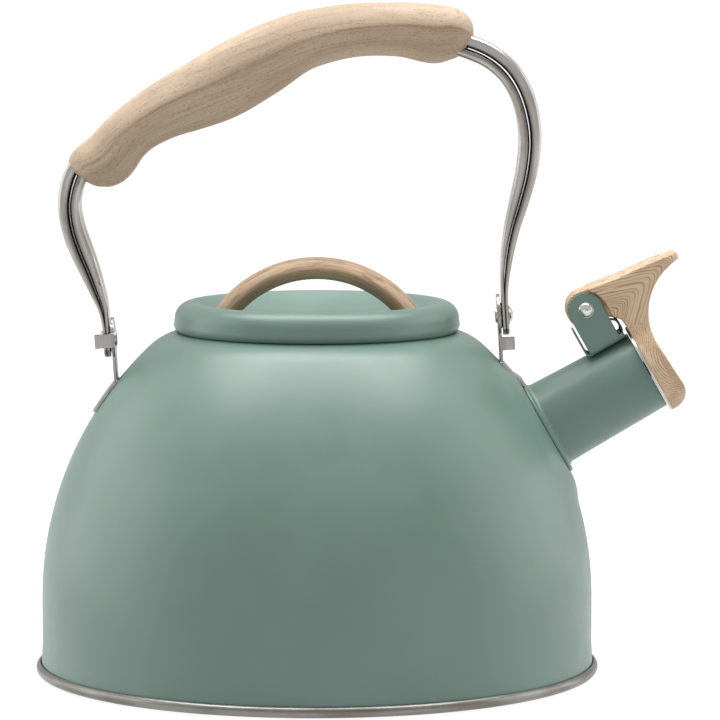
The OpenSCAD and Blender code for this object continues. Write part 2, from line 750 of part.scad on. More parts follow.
module lid_handle() color(wood) difference() {
    translate([0, 0, arch_c]) rotate([90, 0, 0]) rotate_extrude($fn = 96) polygon([
        for (q = [[arch_inner_r, -1, 180], [arch_r, -1, 270], [arch_r, 1, 0], [arch_inner_r, 1, 90]])
            each arc_pts([q[0] + (q[0] == arch_r ? -arch_round : arch_round),
                q[1] * (arch_w / 2 - arch_round)], arch_round, q[2], q[2] + 90, 5)]);
    // everything under the dish
    rotate_extrude($fn = 96) polygon(concat([[0, 0], [80, 0], [80, dish_edge[1]]],
        dish_arc(0, dish_steps)));
    at_feet() translate([0, 0, -1]) cylinder(h = screw_grip + 2.5, r = screw_r, $fn = 32);
}

lock_washer_t = 0.8;
module lid_screws() color(steel) at_feet() translate([0, 0, -sheet_t - lock_washer_t]) {
    cylinder(h = sheet_t + lock_washer_t + screw_grip, r = screw_r, $fn = 32);
    rotate([180, 0, 0]) dome_head(screw_head[0], screw_head[1]);
}

module lid_washers() color(steel) at_feet() translate([0, 0, -sheet_t - lock_washer_t])
    difference() {
        cylinder(h = lock_washer_t, r = screw_head[0] + 0.1, $fn = 32);
        translate([0, 0, -1]) cylinder(h = 3, r = screw_r, $fn = 32);
    }

body_shell();
base_pan();
base_core();
base_cap();
spout_tube();
hinge_bracket();
lever_pin();
lever_spring();
lug_left();
lug_right();
bail_rivet_left();
bail_rivet_right();
bail_washers();
arm_outer_left();
arm_inner_left();
arm_outer_right();
arm_inner_right();
grip();
lid_shell();
lid_skirt();
lid_handle();
lid_screws();
lid_washers();
whistle_lever();
whistle_plate();
whistle_cup();
whistle_screws();
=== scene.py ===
"""Looks of the stovetop whistling kettle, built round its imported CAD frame."""

import json
import math

import bmesh
import bpy
import numpy as np
from mathutils import Matrix, Vector


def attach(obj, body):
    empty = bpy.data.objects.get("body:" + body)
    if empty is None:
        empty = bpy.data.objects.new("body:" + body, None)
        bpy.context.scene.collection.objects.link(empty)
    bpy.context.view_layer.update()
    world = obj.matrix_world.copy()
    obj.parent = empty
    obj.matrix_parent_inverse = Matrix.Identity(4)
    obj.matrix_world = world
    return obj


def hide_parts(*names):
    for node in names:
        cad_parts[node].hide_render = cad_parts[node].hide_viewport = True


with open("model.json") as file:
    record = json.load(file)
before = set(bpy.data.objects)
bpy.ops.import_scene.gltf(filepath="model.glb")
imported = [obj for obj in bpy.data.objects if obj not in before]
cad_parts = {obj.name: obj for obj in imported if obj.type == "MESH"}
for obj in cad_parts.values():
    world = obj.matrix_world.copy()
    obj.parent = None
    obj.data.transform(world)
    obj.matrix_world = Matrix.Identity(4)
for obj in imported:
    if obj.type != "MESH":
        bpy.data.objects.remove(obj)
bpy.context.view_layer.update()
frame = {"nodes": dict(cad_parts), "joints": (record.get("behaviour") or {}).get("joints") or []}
scene = bpy.context.scene
joints = {j["name"]: j for j in frame["joints"]}

# Shapes are worked out in millimetres, in the part's own frame, and turned into metres at the end.
MM = 0.001


# ---- camera and studio ----

def make_camera():
    """A long lens just above the kettle's shoulder, straight at its front."""
    data = bpy.data.cameras.new("camera")
    data.lens = 225.5
    data.sensor_width = 36
    camera = bpy.data.objects.new("camera", data)
    scene.collection.objects.link(camera)
    camera.location = (0.0168, -1.75, 0.3027)
    aim = Vector((0.0168, 0, 0.1222)) - camera.location
    camera.rotation_euler = aim.to_track_quat("-Z", "Y").to_euler()
    scene.camera = camera


def soft_light(name, place, size, watts, tint=(1, 1, 1)):
    """A rectangular soft box that faces the middle of the kettle."""
    data = bpy.data.lights.new(name, "AREA")
    data.shape = "RECTANGLE"
    data.size, data.size_y = size
    data.energy = watts
    data.color = tint
    lamp = bpy.data.objects.new(name, data)
    scene.collection.objects.link(lamp)
    lamp.location = place
    aim = Vector((0, 0, 0.12)) - lamp.location
    lamp.rotation_euler = aim.to_track_quat("-Z", "Y").to_euler()


def make_studio():
    soft_light("top_box", (0.0, 0.12, 1.35), (1.7, 0.9), 35)
    soft_light("left_box", (-1.3, 0.3, 0.45), (1.4, 1.1), 7)
    soft_light("right_box", (1.3, 0.3, 0.45), (1.4, 1.1), 6)
    world = bpy.data.worlds.new("studio")
    world.use_nodes = True
    background = world.node_tree.nodes["Background"]
    background.inputs["Color"].default_value = (1, 1, 1, 1)
    background.inputs["Strength"].default_value = 0.66
    scene.world = world
    scene.view_settings.view_transform = "Standard"

    floor = Shader("floor_paper", Roughness=0.9)
    floor.set(Base_Color=(0.12, 0.12, 0.12, 1), Emission_Color=(1, 1, 1, 1), Emission_Strength=0.9)
    half = 40.0
    mesh = bpy.data.meshes.new("floor")
    mesh.from_pydata([(-half, -half, 0), (half, -half, 0), (half, half, 0), (-half, half, 0)],
                     [], [(0, 1, 2, 3)])
    mesh.materials.append(floor.material)
    obj = bpy.data.objects.new("floor", mesh)
    scene.collection.objects.link(obj)


# ---- materials ----

class Shader:
    """A Principled material, with short ways to add nodes to it."""

    def __init__(self, name, **values):
        self.material = bpy.data.materials.new(name)
        self.material.use_nodes = True
        self.tree = self.material.node_tree
        self.out = self.tree.nodes["Principled BSDF"]
        self.set(**values)

    def set(self, **values):
        """Feed the Principled node's sockets, named with _ for a space."""
        for name, value in values.items():
            self.feed(self.out.inputs[name.replace("_", " ")], value)

    def feed(self, socket, value):
        if isinstance(value, bpy.types.NodeSocket):
            self.tree.links.new(value, socket)
        else:
            socket.default_value = value

    def node(self, kind, inputs, output=0, **settings):
        node = self.tree.nodes.new("ShaderNode" + kind)
        for name, value in settings.items():
            setattr(node, name, value)
        for socket, value in inputs.items():
            self.feed(node.inputs[socket], value)
        return node.outputs[output]

    def math(self, operation, a, b=0.0, clamp=False):
        return self.node("Math", {0: a, 1: b}, operation=operation, use_clamp=clamp)

    def attribute(self, name, output="Vector"):
        return self.node("Attribute", {}, output, attribute_name=name)

    def place(self):
        """The rest position in millimetres."""
        raw = self.node("TexCoord", {}, "Object")
        return self.stretch(raw, (1 / MM,) * 3)

    def stretch(self, vector, factors):
        return self.node("VectorMath", {0: vector, 1: factors}, operation="MULTIPLY")

    def noise(self, vector, scale=1.0, detail=2.0, roughness=0.5):
        return self.node("TexNoise", {"Vector": vector, "Scale": scale, "Detail": detail,
                                      "Roughness": roughness})

    def ramp(self, value, low, high, out_low=0.0, out_high=1.0):
        """value from low to high, mapped smoothly to out_low..out_high."""
        node = self.tree.nodes.new("ShaderNodeMapRange")
        node.interpolation_type = "SMOOTHSTEP"
        for socket, v in (("Value", value), ("From Min", low), ("From Max", high),
                          ("To Min", out_low), ("To Max", out_high)):
            self.feed(node.inputs[socket], v)
        return node.outputs[0]

    def mix(self, share, a, b):
        return self.node("MixRGB", {"Fac": share, "Color1": a, "Color2": b})

    def bump(self, height, strength, depth_mm):
        self.set(Normal=self.node("Bump", {"Height": height, "Strength": strength,
                                           "Distance": depth_mm * MM}))


def srgb(r, g, b):
    """Linear colour of an 8-bit sRGB one."""
    linear = [c / 12.92 if c <= 0.04045 else ((c + 0.055) / 1.055) ** 2.4
              for c in (r / 255, g / 255, b / 255)]
    return (*linear, 1.0)


def paint(name="sage_paint"):
    """Satin enamel: a faint orange peel, slow drifts of shade and a few fine specks."""
    s = Shader(name, Roughness=0.42)
    s.set(Coat_Weight=0.15, Coat_Roughness=0.3)
    place = s.place()
    drift = s.noise(place, 0.02, 3)
    tone = s.mix(s.ramp(drift, 0.3, 0.7), srgb(88, 113, 104), srgb(94, 119, 110))
    speck = s.ramp(s.noise(place, 1.6, 2), 0.72, 0.8)
    s.set(Base_Color=s.mix(s.math("MULTIPLY", speck, 0.25), tone, srgb(70, 94, 86)))
    peel = s.noise(place, 0.55, 3)
    s.set(Roughness=s.ramp(s.noise(place, 0.08, 4), 0.3, 0.7, 0.38, 0.45))
    s.bump(peel, 0.25, 0.05)
    return s.material


def steel(name, along, light, dark, rough, scratch=0.25, groove_shade=False):
    """Stainless steel. along says what the brushing follows: "grain", or None for a plain one.
    Where asked, painted shade darkens the steel beside the groove, where "across" is 0, and fades away
    from it."""
    s = Shader(name, Metallic=1.0)
    place = s.attribute(along) if along else s.place()
    brush = s.noise(s.stretch(place, (0.03, 2.6, 2.6)), 1.0, 4, 0.6)
    fine = s.noise(s.stretch(place, (0.12, 9, 9)), 1.0, 2)
    stain = s.noise(s.stretch(place, (0.05, 0.2, 0.2)), 1.0, 3)
    tone = s.mix(s.ramp(stain, 0.35, 0.7), light, dark)
    base = s.mix(s.ramp(brush, 0.3, 0.75, 0, 0.35), tone, srgb(120, 114, 106))
    if groove_shade:
        # painted shade: the steel beside the arm's groove is darkened, fading out across the channel
        base = s.mix(s.ramp(s.attribute("across", "Fac"), 0.0, 0.62, 0.85, 0), base, srgb(74, 72, 70))
    s.set(Base_Color=base)
    s.set(Roughness=s.ramp(brush, 0.3, 0.7, rough - 0.06, rough + 0.1))
    s.bump(fine, scratch, 0.02)
    return s.material


def wood(name, light, dark, lines, pores, dash):
    """Moulded oak effect: annual rings from "rings", and pores of size 1 / dash along "grain"."""
    s = Shader(name, Roughness=0.62)
    s.set(Specular_IOR_Level=0.3)
    grain = s.attribute("grain")
    rings = s.attribute("rings", "Fac")
    seam = s.attribute("seam", "Fac")
    wander = s.noise(s.stretch(grain, (0.02, 0.11, 0.11)), 1.0, 3)
    uneven = s.noise(s.stretch(grain, (0.03, 0.6, 0.6)), 1.0, 3)
    field = s.math("ADD", rings, s.math("MULTIPLY", wander, 5.0))
    field = s.math("ADD", field, s.math("MULTIPLY", uneven, 1.6))
    wave = s.math("SINE", s.math("MULTIPLY", field, 5.6))
    patchy = s.noise(s.stretch(grain, (0.06, 0.8, 0.8)), 1.0, 2)
    line = s.math("MULTIPLY", s.ramp(wave, 0.3, 1.0), s.ramp(patchy, 0.3, 0.65, 0.3, 1.0))
    streak = s.noise(s.stretch(grain, (0.015, 0.16, 0.16)), 1.0, 3)
    base = s.mix(s.ramp(streak, 0.3, 0.7), light, dark)
    base = s.mix(s.math("MULTIPLY", line, lines), base, srgb(120, 94, 70))
    spots = s.noise(s.stretch(grain, (dash, 3.0, 3.0)), 1.0, 2)
    pore = s.math("MULTIPLY", s.ramp(spots, 0.5, 0.68), s.ramp(wave, -0.9, 0.9, 0.5, 1.0))
    base = s.mix(s.math("MULTIPLY", pore, pores), base, srgb(104, 84, 66))
    s.set(Base_Color=s.mix(s.math("MULTIPLY", seam, 0.4), base, srgb(134, 96, 74)))
    s.set(Roughness=s.ramp(pore, 0, 1, 0.58, 0.8))
    height = s.math("SUBTRACT", 1.0, s.math("ADD", pore, s.math("MULTIPLY", line, 0.35)))
    s.bump(height, 0.3, 0.07)
    return s.material


# ---- mesh helpers ----

def arc(c, r, a0, a1, n):
    turn = np.radians(np.linspace(a0, a1, n + 1))
    return [(c[0] + r * math.cos(a), c[1] + r * math.sin(a)) for a in turn]


def spline(points, n):
    """Catmull-Rom curve through points of any dimension, n steps between neighbours."""
    p = np.array(points, float)
    p = np.vstack([2 * p[0] - p[1], p, 2 * p[-1] - p[-2]])
    t = np.linspace(0, 1, n, endpoint=False)[:, None]
    curve = [(2 * b + (c - a) * t + (2 * a - 5 * b + 4 * c - d) * t ** 2
              + (3 * b - a - 3 * c + d) * t ** 3) / 2
             for a, b, c, d in zip(p, p[1:], p[2:], p[3:])]
    return np.vstack(curve + [p[-2]])


def skin(rings, close_ends=True):
    """Faces over rings of equal size; returns (points, faces)."""
    m = len(rings[0])
    points = [tuple(q) for ring in rings for q in ring]
    faces = [(i * m + j, (i + 1) * m + j, (i + 1) * m + (j + 1) % m, i * m + (j + 1) % m)
             for i in range(len(rings) - 1) for j in range(m)]
    if close_ends:
        last = (len(rings) - 1) * m
        faces += [tuple(range(m)), tuple(last + j for j in reversed(range(m)))]
    return points, faces


def turned(profile, steps):
    """A closed outline of (r, z) turned about Z; a point at r = 0 becomes a pole."""
    points, faces, rows = [], [], []
    turn = np.linspace(0, 2 * math.pi, steps, endpoint=False)
    for r, z in profile:
        first = len(points)
        if r < 1e-6:
            points.append((0, 0, z))
            rows.append([first] * steps)
        else:
            points += [(r * math.cos(a), r * math.sin(a), z) for a in turn]
            rows.append(list(range(first, first + steps)))
    for a, b in zip(rows, rows[1:] + rows[:1]):
        for i in range(steps):
            j = (i + 1) % steps
            face = list(dict.fromkeys([a[i], b[i], b[j], a[j]]))
            if len(face) > 2:
                faces.append(tuple(face))
    return points, faces


def add_piece(name, solid, body, material, node, fields=None, place=None, crease=40):
    """A piece from (points, faces) in millimetres. fields are the material's own coordinates:
    {attribute: function of the points}."""
    points, faces = solid
    mesh = bpy.data.meshes.new(name)
    mesh.from_pydata([tuple(p) for p in points], [], faces)
    bm = bmesh.new()
    bm.from_mesh(mesh)
    bmesh.ops.remove_doubles(bm, verts=bm.verts, dist=1e-4)
    bmesh.ops.recalc_face_normals(bm, faces=bm.faces)
    bm.to_mesh(mesh)
    bm.free()
    return place_piece(name, mesh, body, material, node, fields, place, crease)


def place_piece(name, mesh, body, material, node, fields=None, place=None, crease=40):
    """Put a mesh in millimetres in its place, in the stead of a CAD node."""
    own = np.array([v.co for v in mesh.vertices])
    for attribute, field in (fields or {}).items():
        values = np.array(field(own), np.float32)
        kind, key = ("FLOAT", "value") if values.ndim == 1 else ("FLOAT_VECTOR", "vector")
        mesh.attributes.new(attribute, kind, "POINT").data.foreach_set(key, values.ravel())
    if place:
        mesh.transform(place)
    mesh.transform(Matrix.Scale(MM, 4))
    mesh.shade_smooth()
    mesh.set_sharp_from_angle(angle=math.radians(crease))
    mesh.materials.clear()
    mesh.materials.append(material)
    piece = bpy.data.objects.new(name, mesh)
    scene.collection.objects.link(piece)
    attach(piece, body)
    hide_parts(node)
    return piece


def softened(node, voxel, passes, place=None):
    """A CAD solid in millimetres, in the frame that place leads out of, with its edges worn round."""
    mesh = frame["nodes"][node].data.copy()
    mesh.transform(Matrix.Scale(1 / MM, 4))
    if place:
        mesh.transform(place.inverted())
    work = bpy.data.objects.new("work", mesh)
    scene.collection.objects.link(work)
    remesh = work.modifiers.new("remesh", "REMESH")
    remesh.mode = "VOXEL"
    remesh.voxel_size = voxel
    smooth = work.modifiers.new("smooth", "SMOOTH")
    smooth.factor = 0.5
    smooth.iterations = passes
    shape = work.evaluated_get(bpy.context.evaluated_depsgraph_get())
    result = bpy.data.meshes.new_from_object(shape)
    bpy.data.objects.remove(work)
    return result


def tube(path, radius, m=16):
    """A round wire along a path of 3-D points."""
    p = np.array(path, float)
    ahead = np.gradient(p, axis=0)
    ahead /= np.linalg.norm(ahead, axis=1)[:, None]
    side = np.cross(ahead[0], (0.3, 0.1, 1.0))
    rings = []
    for q, t in zip(p, ahead):
        side = side - t * side.dot(t)
        side /= np.linalg.norm(side)
        up = np.cross(t, side)
        rings.append([q + radius * (math.cos(a) * side + math.sin(a) * up)
                      for a in np.linspace(0, 2 * math.pi, m, endpoint=False)])
    return skin(rings)


# ---- body ----

SPOUT_A = math.radians(29.5)
SPOUT_L = 45.5
HINGE_UV = (-9.4, 32.9)
SHEET = 0.7
hinge = np.array(joints["lever_tilt"]["pos_m"]) / MM
ALONG = np.array((math.cos(SPOUT_A), 0, math.sin(SPOUT_A)))
ACROSS = np.array((-math.sin(SPOUT_A), 0, math.cos(SPOUT_A)))
MOUTH = hinge - HINGE_UV[0] * ALONG - HINGE_UV[1] * ACROSS
spout_frame = Matrix.Translation(MOUTH) @ Matrix.Rotation(-SPOUT_A, 4, "Y")
# Shapes turned about Z, laid along the spout
spout_turned = spout_frame @ Matrix.Rotation(math.pi / 2, 4, "Y")

WALL_R = 107.5
NECK_R = 49.5
NECK_Z = 125.7
dome_r, dome_z = 135.0, 29.7
dome_c = (WALL_R - dome_r, dome_z)
shoulder_a, shoulder_r = 46.5, 24.0
shoulder_c = (dome_c[0] + (dome_r - shoulder_r) * math.cos(math.radians(shoulder_a)),
              dome_c[1] + (dome_r - shoulder_r) * math.sin(math.radians(shoulder_a)))
roll_r = 2.2
roll_a = math.degrees(math.acos((NECK_R + roll_r - shoulder_c[0]) / (shoulder_r - roll_r)))
roll_c = (shoulder_c[0] + (shoulder_r - roll_r) * math.cos(math.radians(roll_a)),
          shoulder_c[1] + (shoulder_r - roll_r) * math.sin(math.radians(roll_a)))
SEAT_R, SWELL_R = 20.6, 33.0
OPENING_R = 16.95


def shell_side(t):
    """The shell's outline t inside its outer face, from the foot to the neck's edge."""
    foot = [(108 - t, 2.9), (107.85 - t, 6), (WALL_R - t, 12), (WALL_R - t, 19)]
    return (foot + arc(dome_c, dome_r - t, 0, shoulder_a, 80)
            + arc(shoulder_c, shoulder_r - t, shoulder_a, roll_a, 14)[1:]
            + arc(roll_c, roll_r - t, roll_a, 180, 12)[1:] + [(NECK_R + t, NECK_Z)])


def swell(points):
    """Raise the wall smoothly to the flat seat that the spout's flange stands on."""
    for p in points:
        off = p - MOUTH
        u, v = off.dot(ALONG), off.dot(ACROSS)
        rho = math.hypot(v, p[1])
        if u < -70 or rho > SWELL_R or p[0] < 0:
            continue
        t = min(1, max(0, (SWELL_R - rho) / (SWELL_R - SEAT_R)))
        share = t * t * (3 - 2 * t)
        yield_to = -SPOUT_L - p_inside(p)
        p += share * (yield_to - u) * ALONG
    return points


def p_inside(p):
    """0 on the shell's outer face, and the sheet's thickness on its inner face."""
    reach = math.hypot(math.hypot(p[0], p[1]) - dome_c[0], p[2] - dome_c[1])
    return 0.0 if reach > dome_r - SHEET / 2 else SHEET


def carve(piece, solid, place):
    """Cut a closed solid, in millimetres, out of a piece."""
    points, faces = solid
    mesh = bpy.data.meshes.new("cutter")
    mesh.from_pydata(points, [], faces)
    mesh.transform(Matrix.Scale(MM, 4) @ place)
    cutter = bpy.data.objects.new("cutter", mesh)
    scene.collection.objects.link(cutter)
    cut = piece.modifiers.new("cut", "BOOLEAN")
    cut.object = cutter
    cut.operation = "DIFFERENCE"
    cut.solver = "FAST"
    shape = piece.evaluated_get(bpy.context.evaluated_depsgraph_get())
    result = bpy.data.meshes.new_from_object(shape)
    piece.modifiers.clear()
    piece.data = result
    bpy.data.objects.remove(cutter)


def make_body(paint_mat, inner_mat):
    points, faces = turned(shell_side(0) + shell_side(SHEET)[::-1], 288)
    points = swell([np.array(p) for p in points])
    piece = add_piece("body_wall", (points, faces), "kettle", paint_mat, "body_shell")
    # the opening behind the spout
    carve(piece, turned([(0, -60), (OPENING_R, -60), (OPENING_R, -30), (0, -30)], 96), spout_turned)
    mesh = piece.data
    # bare steel on the inside
    mesh.materials.append(inner_mat)
    for face in mesh.polygons:
        c = face.center / MM
        radial = math.hypot(c.x, c.y)
        inward = face.normal.dot(Vector((c.x, c.y, 0))) < 0 or face.normal.z < -0.5
        if inward and (radial > NECK_R + 0.3 or c.z < NECK_Z + 2) and p_inside(np.array(c)) > 0:
            face.material_index = 1


def around(points):
    """Brushing that runs round the Z axis."""
    angle = np.arctan2(points[:, 1], points[:, 0])
    r = np.hypot(points[:, 0], points[:, 1])
    return np.column_stack([angle * 100, points[:, 2], r])


def make_base(ring_mat, cap_mat):
    seam, roll = (107.85, 2.55), 2.15
    pan = ([(0, 3.4), (99.5, 3.4), (104, seam[1] - roll)] + arc(seam, roll, -88, 75, 24)
           + arc(seam, roll - SHEET, 70, -90, 14)
           + [(104.3, 1.1), (99.8, 4.1), (0, 4.1)])
    add_piece("base_ring", turned(pan, 288), "kettle", ring_mat, "base_pan",
              {"grain": around})
    cap = [(0, 0), (60, 0), (60.6, 0.25), (61.2, 0), (96.6, 0)] + arc((96.7, 0.8), 0.8, -90, 0, 6) + [
        (97.5, 3.4), (96.8, 3.4), (96.8, 0.7), (0, 0.7)]
    add_piece("base_disc", turned(cap, 192), "kettle", cap_mat, "base_cap",
              {"grain": around})


# ---- spout ----

MOUTH_R, ROOT_R, FLANGE_R = 16.0, 17.0, 20.15


def make_spout(paint_mat):
    tube_t, lip, back = 0.8, 0.4, -SPOUT_L
    flange = back + 1.25
    fillet = 1.7
    outline = (arc((MOUTH_R - lip, -lip), lip, 180, 0, 8)
               + [(MOUTH_R + 0.1, -5), (MOUTH_R + 0.35, -16), (MOUTH_R + 0.7, -32)]
               + arc((ROOT_R + fillet, flange + fillet), fillet, 180, 270, 8)
               + arc((FLANGE_R - 0.5, flange - 0.5), 0.5, 90, 0, 5)
               + [(FLANGE_R, back + 0.3), (FLANGE_R - 0.3, back), (ROOT_R - 0.1, back),
                  (ROOT_R - 0.1, back - 3), (ROOT_R - tube_t, back - 3)])
    add_piece("spout", turned(outline, 128), "kettle", paint_mat, "spout_tube",
              place=spout_turned)


def rivet_head(r, h, base):
    """A domed head with a small dimple at its middle, standing at height 0; the argument base is not
    used.
    """
    ball = (r * r + h * h) / (2 * h)
    a = math.degrees(math.asin(min(1, r / ball)))
    dome = arc((0, h - ball), ball, 90 - a, 81, 12)
    top = dome[-1][1]
    return ([(0, 0), (r - 0.15, 0), (r, 0.12)] + [(x, max(z, 0.12)) for x, z in dome[1:]]
            + [(dome[-1][0] * 0.72, top - 0.12), (dome[-1][0] * 0.4, top - 0.3), (0, top - 0.34)])


def make_lever_pin(metal):
    """The pin's two heads stand on the ears."""
    half = 9.5
    head = rivet_head(3.0, 1.5, 0)
    outline = ([(0, -half - head[-1][1])] + [(r, -half - z) for r, z in head[::-1][1:-1]]
               + [(2.0, -half), (2.0, half)] + [(r, half + z) for r, z in head[1:]])
    place = (spout_frame @ Matrix.Translation((HINGE_UV[0], 0, HINGE_UV[1]))
             @ Matrix.Rotation(math.pi / 2, 4, "X"))
    add_piece("lever_rivet", turned(outline, 48), "kettle", metal, "lever_pin",
              place=place)


def make_lever_spring(metal):
    """Two coils on the pin, joined by a heel that bears on the bracket's web."""
    coil_r, turns, lead = 3.4, 1.75, math.radians(-121)
    half = []
    for f in np.linspace(0, 1, 90):
        a = lead - 2 * math.pi * turns * (1 - f)
        half.append((HINGE_UV[0] + coil_r * math.cos(a), 5.6 + 2 * f,
                     HINGE_UV[1] + coil_r * math.sin(a)))
    half.insert(0, (half[0][0], half[0][1] - 1.6, half[0][2]))
    heel = [(-2.6, 7.6, 24.8), (-1.2, 7.6, 23.4), (-0.9, 7.6, 21.7), (-0.9, 7.3, 20.1),
            (-1.3, 7.0, 18.7), (-2.4, 6.4, 17.75), (-2.4, 3, 17.75), (-2.4, 0, 17.75)]
    half += [tuple(q) for q in spline([half[-1]] + heel, 4)[1:]]
    other = [(x, -y, z) for x, y, z in half[::-1][1:]]
    add_piece("lever_coil", tube(half + other, 0.45, 12), "kettle", metal,
              "lever_spring", place=spout_frame)


def make_bracket(paint_mat):
    mesh = softened("hinge_bracket", 0.2, 3, spout_frame)
    place_piece("lever_bracket", mesh, "kettle", paint_mat, "hinge_bracket",
                place=spout_frame)


# ---- whistle lever ----

# Height, along ACROSS, of the thumb tab's inner corner, and where its figure gives way to the cover's
CORNER_V, COVER_V, COVER_BLEND = 27.3, 16.8, 1.4


def lever_rings(p):
    """Rings nested in the thumb tab's corner, and straight figure on the cover below it."""
    u, v = p[:, 0], p[:, 2]
    lean = math.radians(14)
    ahead = u * math.cos(lean) + (v - CORNER_V) * math.sin(lean)
    aside = -u * math.sin(lean) + (v - CORNER_V) * math.cos(lean)
    tab = (ahead + 1.77 * np.sqrt(aside ** 2 + 2.5)) / 1.7
    cover = 1.2 * u + 0.05 * p[:, 1] ** 2 + 0.12 * v
    share = np.clip((v - COVER_V) / COVER_BLEND, 0, 1)
    return tab * share + cover * (1 - share) + 0.25 * p[:, 1]


def lever_grain(p):
    """Fibres that fan out over the thumb tab and run down the cover."""
    u, v = p[:, 0], p[:, 2]
    tab = np.column_stack([1.3 * (v - CORNER_V) - 0.3 * u, lever_rings(p) * 1.2, p[:, 1]])
    cover = np.column_stack([v, u, p[:, 1]])
    share = np.clip((v - COVER_V) / COVER_BLEND, 0, 1)[:, None]
    return tab * share + cover * (1 - share)


def make_lever(wood_mat):
    mesh = softened("whistle_lever", 0.35, 7, spout_frame)
    place_piece("lever_wood", mesh, "lever", wood_mat, "whistle_lever",
                {"grain": lever_grain, "rings": lever_rings}, spout_frame)


# ---- bail ----

pivot = np.array(joints["bail_swing"]["pos_m"]) / MM
axis = np.array(joints["bail_swing"]["axis"])
SLOPE = math.atan2(axis[2], axis[0])
UP = np.array((-math.sin(SLOPE), math.cos(SLOPE)))
PIVOT_L = np.array((pivot[0], pivot[2]))
PIVOT_GAP = math.hypot(155.2, 9.4)
PIVOT_R = PIVOT_L + PIVOT_GAP * np.array((math.cos(SLOPE), math.sin(SLOPE)))
ARM_W, ARM_T, GROOVE = 12.0, 1.2, 0.5
WASHER_T, LUG_T = 0.7, 1.3
# How far each arm's tongue reaches below its rivet
TONGUE_L, TONGUE_R = 7.0, 7.7


def arm_line(at, end, rest):
    """Middle line of an arm, [x, z, thickness, outer part], from its tongue's end to the grip."""
    tongue = [(*(at + d * UP), 2 * ARM_T, ARM_T)
              for d in (-end, 0.15 - end, 0.5 - end, 1 - end, 2 - end, 3.5 - end, 0, 5)]
    return tongue + rest


left_line = [(-83.1, 142.7, 3.9, 1.4), (-85.2, 149.2, 5.8, 2), (-88.2, 157.2, 7.6, 2.8),
             (-91.3, 164.7, 8.8, 3.4), (-94.2, 172.7, 9, 3.7), (-95.8, 180.7, 8.8, 4),
             (-95.5, 187.7, 8.9, 4.4), (-93.3, 194.7, 9.2, 4.6), (-89.2, 200.6, 8.6, 4.4),
             (-83.4, 206, 8, 4.1)]
right_line = [(73, 152.7, 3.1, 1.5), (73.9, 162.7, 4.6, 2.3), (75.8, 173.7, 6, 2.8),
              (78.7, 184.7, 7.4, 3.2), (81.5, 196.7, 8.3, 3.6), (82.7, 209.7, 8.8, 4.2),
              (80.6, 222.7, 9, 4.8), (75.6, 232.7, 9.2, 4.9), (68.8, 239.3, 9.2, 4.9),
              (60.6, 243.5, 9.2, 4.9), (48, 247.3, 8.6, 4.6)]


def rounded_box(n0, n1, y0, y1, r, steps=5):
    """Corners of a rounded rectangle in (n, y)."""
    r = max(0.02, min(r, 0.48 * abs(n1 - n0), 0.48 * abs(y1 - y0)))
    if n1 < n0:
        n0, n1 = n1, n0
    corners = [((n1 - r, y1 - r), 0), ((n0 + r, y1 - r), 90), ((n0 + r, y0 + r), 180),
               ((n1 - r, y0 + r), 270)]
    return [q for c, a in corners for q in arc(c, r, a, a + 90, steps)]


def make_arm(name, line, part, side, end, square_rear, metal, node):
    """One pressed channel of an arm. side is 1 where the outer part lies left of the line."""
    path = spline(line, 6)
    heading = np.gradient(path[:, :2], axis=0)
    heading /= np.linalg.norm(heading, axis=1)[:, None]
    steps = np.linalg.norm(np.diff(path[:, :2], axis=0), axis=1)
    length = np.concatenate([[0], np.cumsum(steps)])
    rings, coords, across = [], [], []
    for q, h, s in zip(path, heading, length):
        beside = np.array((-h[1], h[0])) * side
        half = q[2] / 2
        cut = half - q[3]
        deep = q[2] - 2 * ARM_T
        gap = min(GROOVE, max(0.06, deep * 0.4))
        n0, n1 = (cut, half) if part == "outer" else (-half, cut - gap)
        below = end - s
        wide = ARM_W / 2
        round_w = math.sqrt(max(0.01, end ** 2 - below ** 2)) if below > 0 else wide
        front = min(wide, round_w)
        rear = wide if square_rear else front
        r = min(2.1, 0.3 + 0.6 * deep)
        section = rounded_box(n0, n1, -front, rear, r)
        coords += [(s, y, n) for n, y in section]
        # across runs from 0 at the groove to 1 at the far edge; the arm steel paints shade where it is
        # low
        across += [(n - n0 if part == "outer" else n1 - n) / (n1 - n0) for n, y in section]
        rings.append([(q[0] + n * beside[0], y, q[1] + n * beside[1]) for n, y in section])
    points, faces = skin(rings)
    add_piece(name, (points, faces), "bail", metal, node, crease=50,
              fields={"grain": lambda own: nearest_coords(own, points, coords),
                      "across": lambda own: nearest_coords(own, points, across)})


def nearest_coords(own, points, coords):
    """What coords holds for each mesh point, looked up by the point's place."""
    table = {tuple(np.round(p, 3)): c for p, c in zip(points, coords)}
    return [table.get(tuple(np.round(p, 3)), coords[0]) for p in own]


def make_arms(metal):
    left = arm_line(PIVOT_L, TONGUE_L, left_line)
    right = arm_line(PIVOT_R, TONGUE_R, right_line)
    for part in ("outer", "inner"):
        make_arm(f"bail_{part}_left", left, part, 1, TONGUE_L, False, metal, f"arm_{part}_left")
        make_arm(f"bail_{part}_right", right, part, -1, TONGUE_R, True, metal, f"arm_{part}_right")


grip_line = [(-94.9, 195.9, 10.2), (-90.8, 200.2, 9.6), (-84, 204.5, 10.8), (-77.4, 211.8, 10.1),
             (-69.7, 218, 10.2), (-57.1, 225.6, 11.7), (-38.2, 233.3, 13.9), (-21.5, 240.2, 13.4),
             (-5.5, 246.5, 11.5), (13.2, 250.4, 10.4), (31.6, 250.9, 10.5), (45.2, 249.1, 11.4),
             (53, 249.1, 10.1), (60.3, 247.3, 9.1)]
GRIP_HALF_W, END_ROUND, END_POWER = 12.5, 9.0, 2.2


